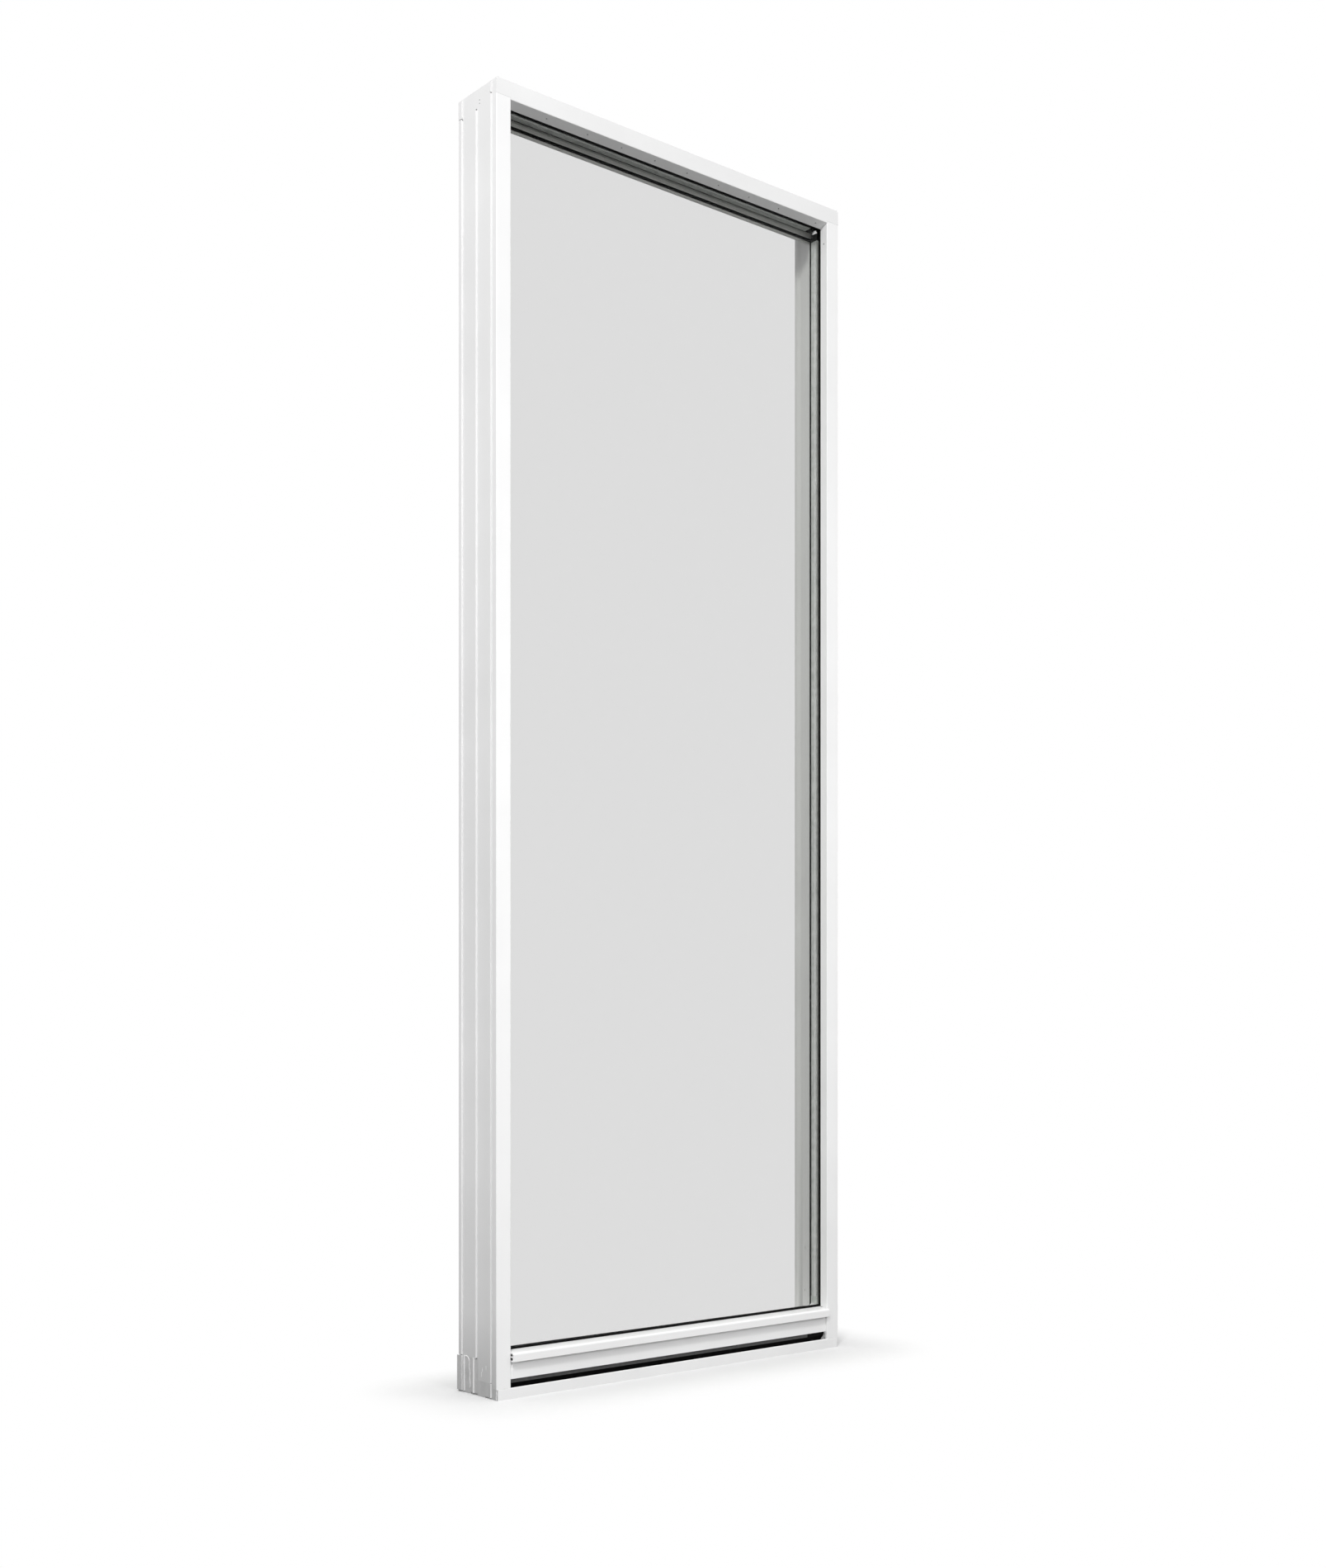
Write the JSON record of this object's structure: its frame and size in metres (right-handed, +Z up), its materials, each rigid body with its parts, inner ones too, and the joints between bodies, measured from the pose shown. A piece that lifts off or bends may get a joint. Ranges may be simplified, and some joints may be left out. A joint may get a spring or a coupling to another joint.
{
  "type": "fixed picture window",
  "caption": "Tall fixed window: white extruded frame with ribbed outer sides, a sealed glass unit in black gaskets, and a snap-in bead on a slotted sill.",
  "frame": {"origin": "middle of the base, at floor level", "axes": "X along the width, Y from the front face with the bead to the back, Z up"},
  "size_m": [0.584, 0.09, 1.6],
  "materials": {
    "white_coat": "satin powder coat",
    "black_rubber": "matt",
    "clear_glass": "clear, polished",
    "spacer_metal": "mill finish, perforated",
    "key_plastic": "matt",
    "edge_sealant": "matt"
  },
  "bodies": {
    "root": {"head_extrusion": "white_coat", "sill_extrusion": "white_coat", "sill_glazing_bead": "white_coat", "sill_slot_seal": "black_rubber", "sill_slot_strip": "key_plastic", "sill_slot_corner": "white_coat", "front_pane": "clear_glass", "rear_pane": "clear_glass", "left_jamb": "white_coat", "head_end_plate_left": "white_coat", "sill_end_plate_left": "white_coat", "setting_block_left": "black_rubber", "spacer_key_head_left": "key_plastic", "spacer_key_sill_left": "key_plastic", "right_jamb": "white_coat", "head_end_plate_right": "white_coat", "sill_end_plate_right": "white_coat", "setting_block_right": "black_rubber", "spacer_key_head_right": "key_plastic", "spacer_key_sill_right": "key_plastic", "spacer_head": "spacer_metal", "edge_seal_head": "edge_sealant", "front_gasket_head": "black_rubber", "rear_gasket_head": "black_rubber", "spacer_sill": "spacer_metal", "edge_seal_sill": "edge_sealant", "front_gasket_sill": "black_rubber", "rear_gasket_sill": "black_rubber", "spacer_left": "spacer_metal", "edge_seal_left": "edge_sealant", "front_gasket_left": "black_rubber", "rear_gasket_left": "black_rubber", "spacer_right": "spacer_metal", "edge_seal_right": "edge_sealant", "front_gasket_right": "black_rubber", "rear_gasket_right": "black_rubber"}
  },
  "joints": []
}
